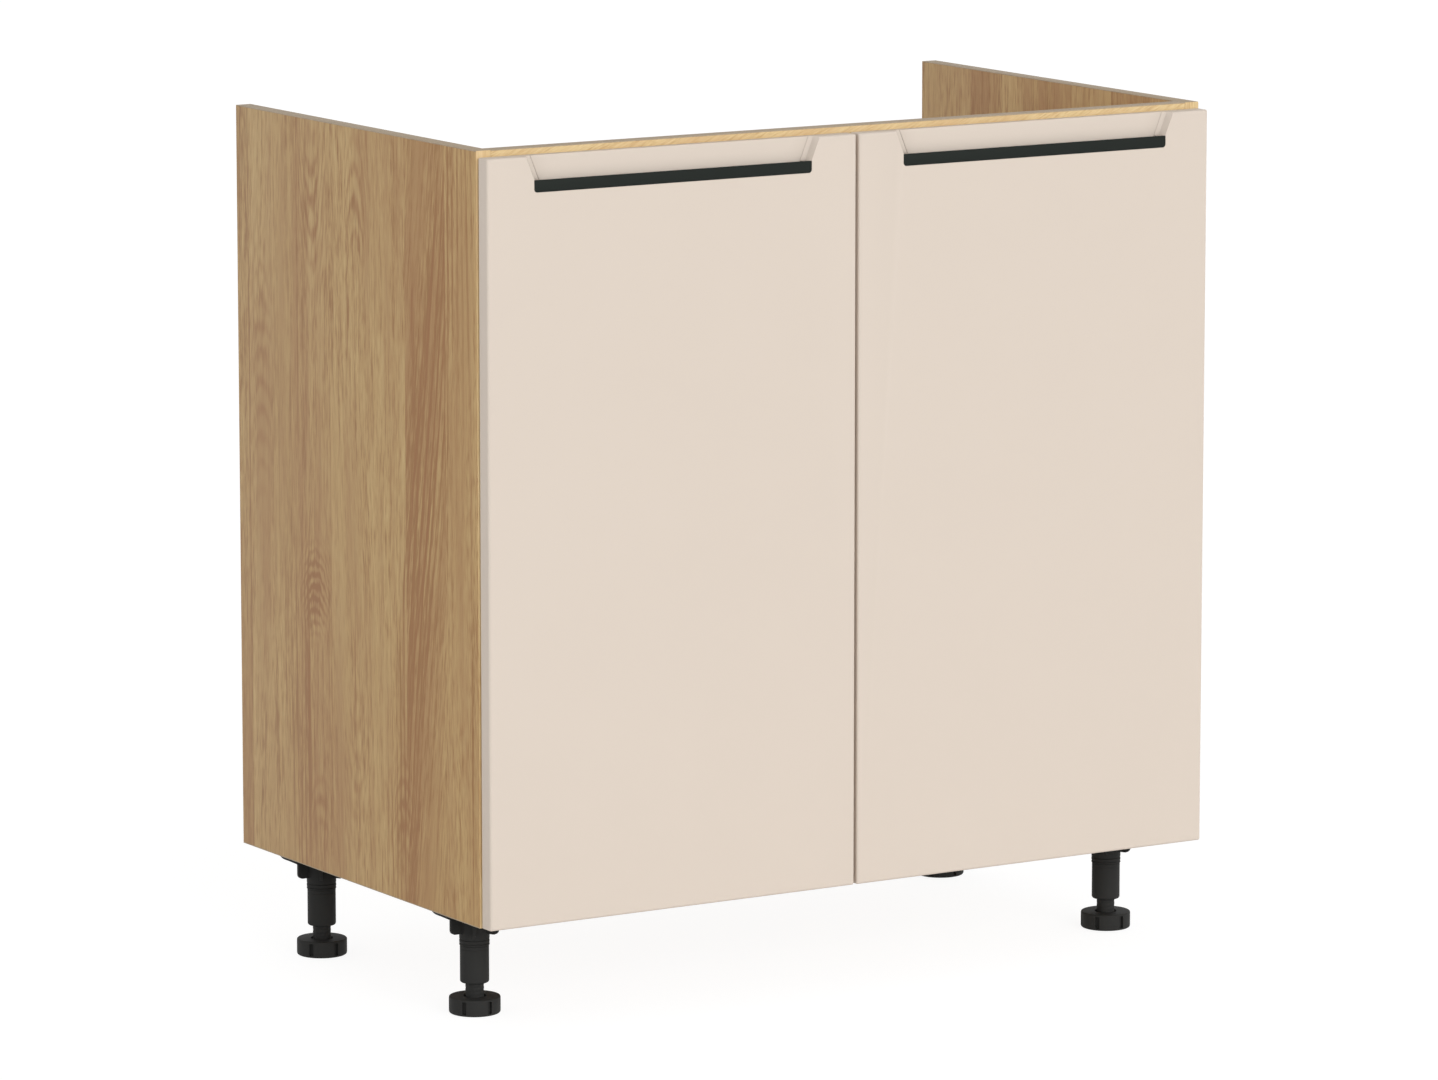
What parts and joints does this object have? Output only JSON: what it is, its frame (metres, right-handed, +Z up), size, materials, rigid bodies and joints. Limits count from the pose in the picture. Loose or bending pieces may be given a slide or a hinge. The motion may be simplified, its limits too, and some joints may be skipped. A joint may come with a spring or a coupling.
{
  "type": "sink base cabinet",
  "caption": "Open-topped sink base cabinet of wood-decor board with pale doors, milled grip recesses and black strips, concealed hinges and adjustable black legs.",
  "frame": {"origin": "on the floor, in the middle of the box round the cabinet", "axes": "+Z up, -Y out of the doors, +X to the right as seen from the front"},
  "size_m": [0.8, 0.478, 0.82],
  "materials": {
    "wood_decor_board": "particle board with a wood decor, fine vertical grain, low sheen",
    "door_lacquer": "smooth matt lacquer on board, rounded edges",
    "black_aluminium": "black anodised extrusion, satin",
    "black_plastic": "moulded black plastic, satin",
    "hinge_steel": "nickel-plated pressed steel",
    "zinc_fitting": "die-cast zinc, satin",
    "clear_rubber": "soft clear bumper"
  },
  "bodies": {
    "carcass": {"side_panel_left": "wood_decor_board", "side_panel_right": "wood_decor_board", "bottom_panel": "wood_decor_board", "front_rail": "wood_decor_board", "rear_rail": "wood_decor_board", "cam_fitting_bottom_front_left": "zinc_fitting", "cam_fitting_bottom_front_right": "zinc_fitting", "cam_fitting_bottom_rear_left": "zinc_fitting", "cam_fitting_bottom_rear_right": "zinc_fitting", "cam_fitting_front_rail_left": "zinc_fitting", "cam_fitting_front_rail_right": "zinc_fitting", "cam_fitting_rear_rail_left": "zinc_fitting", "cam_fitting_rear_rail_right": "zinc_fitting", "hinge_plate_left_lower": "zinc_fitting", "hinge_plate_left_upper": "zinc_fitting", "hinge_plate_right_lower": "zinc_fitting", "hinge_plate_right_upper": "zinc_fitting", "hinge_arm_left_lower": "hinge_steel", "hinge_arm_left_upper": "hinge_steel", "hinge_arm_right_lower": "hinge_steel", "hinge_arm_right_upper": "hinge_steel", "leg_mount_front_left": "black_plastic", "leg_mount_front_right": "black_plastic", "leg_mount_rear_left": "black_plastic", "leg_mount_rear_right": "black_plastic", "leg_tube_front_left": "black_plastic", "leg_tube_front_right": "black_plastic", "leg_tube_rear_left": "black_plastic", "leg_tube_rear_right": "black_plastic"},
    "outer_links_left": {"hinge_outer_link_left_lower": "hinge_steel", "hinge_outer_link_left_upper": "hinge_steel"},
    "inner_links_left": {"hinge_inner_link_left_lower": "hinge_steel", "hinge_inner_link_left_upper": "hinge_steel"},
    "door_left": {"door_left": "door_lacquer", "handle_strip_left": "black_aluminium", "door_bumper_left_lower": "clear_rubber", "door_bumper_left_upper": "clear_rubber", "hinge_cup_left_lower": "hinge_steel", "hinge_cup_left_upper": "hinge_steel"},
    "outer_links_right": {"hinge_outer_link_right_lower": "hinge_steel", "hinge_outer_link_right_upper": "hinge_steel"},
    "inner_links_right": {"hinge_inner_link_right_lower": "hinge_steel", "hinge_inner_link_right_upper": "hinge_steel"},
    "door_right": {"door_right": "door_lacquer", "handle_strip_right": "black_aluminium", "door_bumper_right_lower": "clear_rubber", "door_bumper_right_upper": "clear_rubber", "hinge_cup_right_lower": "hinge_steel", "hinge_cup_right_upper": "hinge_steel"},
    "stem_front_left": {"leg_stem_front_left": "black_plastic"},
    "foot_front_left": {"leg_foot_front_left": "black_plastic"},
    "stem_front_right": {"leg_stem_front_right": "black_plastic"},
    "foot_front_right": {"leg_foot_front_right": "black_plastic"},
    "stem_rear_left": {"leg_stem_rear_left": "black_plastic"},
    "foot_rear_left": {"leg_foot_rear_left": "black_plastic"},
    "stem_rear_right": {"leg_stem_rear_right": "black_plastic"},
    "foot_rear_right": {"leg_foot_rear_right": "black_plastic"}
  },
  "joints": [
    {"name": "outer_links_left", "type": "hinge", "parent": "carcass", "child": "outer_links_left", "pos_m": [-0.3742, -0.2101, 0.457], "axis": [0, 0, 1], "range_deg": [0, 32]},
    {"name": "door_left_swing", "type": "hinge", "parent": "outer_links_left", "child": "door_left", "pos_m": [-0.3905, -0.22602, 0.457], "axis": [0, 0, -1], "range_deg": [0, 126.63]},
    {"name": "inner_links_left", "type": "hinge", "parent": "carcass", "child": "inner_links_left", "pos_m": [-0.36731, -0.22881, 0.457], "axis": [0, 0, 1], "range_deg": [0, 19]},
    {"name": "outer_links_right", "type": "hinge", "parent": "carcass", "child": "outer_links_right", "pos_m": [0.3742, -0.2101, 0.457], "axis": [0, 0, -1], "range_deg": [0, 32]},
    {"name": "door_right_swing", "type": "hinge", "parent": "outer_links_right", "child": "door_right", "pos_m": [0.3905, -0.22602, 0.457], "axis": [0, 0, 1], "range_deg": [0, 126.63]},
    {"name": "inner_links_right", "type": "hinge", "parent": "carcass", "child": "inner_links_right", "pos_m": [0.36731, -0.22881, 0.457], "axis": [0, 0, -1], "range_deg": [0, 19]},
    {"name": "stem_front_left_height", "type": "slide", "parent": "carcass", "child": "stem_front_left", "axis": [0, 0, -1], "range_m": [-0.011, 0.015]},
    {"name": "foot_front_left_turn", "type": "hinge", "parent": "stem_front_left", "child": "foot_front_left", "pos_m": [-0.3576, -0.137, 0.008], "axis": [0, 0, 1], "range_deg": [-1000, 1360]},
    {"name": "stem_front_right_height", "type": "slide", "parent": "carcass", "child": "stem_front_right", "axis": [0, 0, -1], "range_m": [-0.011, 0.015]},
    {"name": "foot_front_right_turn", "type": "hinge", "parent": "stem_front_right", "child": "foot_front_right", "pos_m": [0.3576, -0.137, 0.008], "axis": [0, 0, 1], "range_deg": [-1000, 1360]},
    {"name": "stem_rear_left_height", "type": "slide", "parent": "carcass", "child": "stem_rear_left", "axis": [0, 0, -1], "range_m": [-0.011, 0.015]},
    {"name": "foot_rear_left_turn", "type": "hinge", "parent": "stem_rear_left", "child": "foot_rear_left", "pos_m": [-0.3576, 0.1595, 0.008], "axis": [0, 0, 1], "range_deg": [-1000, 1360]},
    {"name": "stem_rear_right_height", "type": "slide", "parent": "carcass", "child": "stem_rear_right", "axis": [0, 0, -1], "range_m": [-0.011, 0.015]},
    {"name": "foot_rear_right_turn", "type": "hinge", "parent": "stem_rear_right", "child": "foot_rear_right", "pos_m": [0.3576, 0.1595, 0.008], "axis": [0, 0, 1], "range_deg": [-1000, 1360]}
  ],
  "couplings": [
    {"joint": "outer_links_left", "follows": "door_left_swing", "ratio": 0.24978},
    {"joint": "inner_links_left", "follows": "door_left_swing", "ratio": 0.14712},
    {"joint": "outer_links_right", "follows": "door_right_swing", "ratio": 0.24978},
    {"joint": "inner_links_right", "follows": "door_right_swing", "ratio": 0.14712},
    {"joint": "foot_front_left_turn", "follows": "stem_front_left_height", "rad_per_m": 1570.8},
    {"joint": "foot_front_right_turn", "follows": "stem_front_right_height", "rad_per_m": 1570.8},
    {"joint": "foot_rear_left_turn", "follows": "stem_rear_left_height", "rad_per_m": 1570.8},
    {"joint": "foot_rear_right_turn", "follows": "stem_rear_right_height", "rad_per_m": 1570.8}
  ]
}
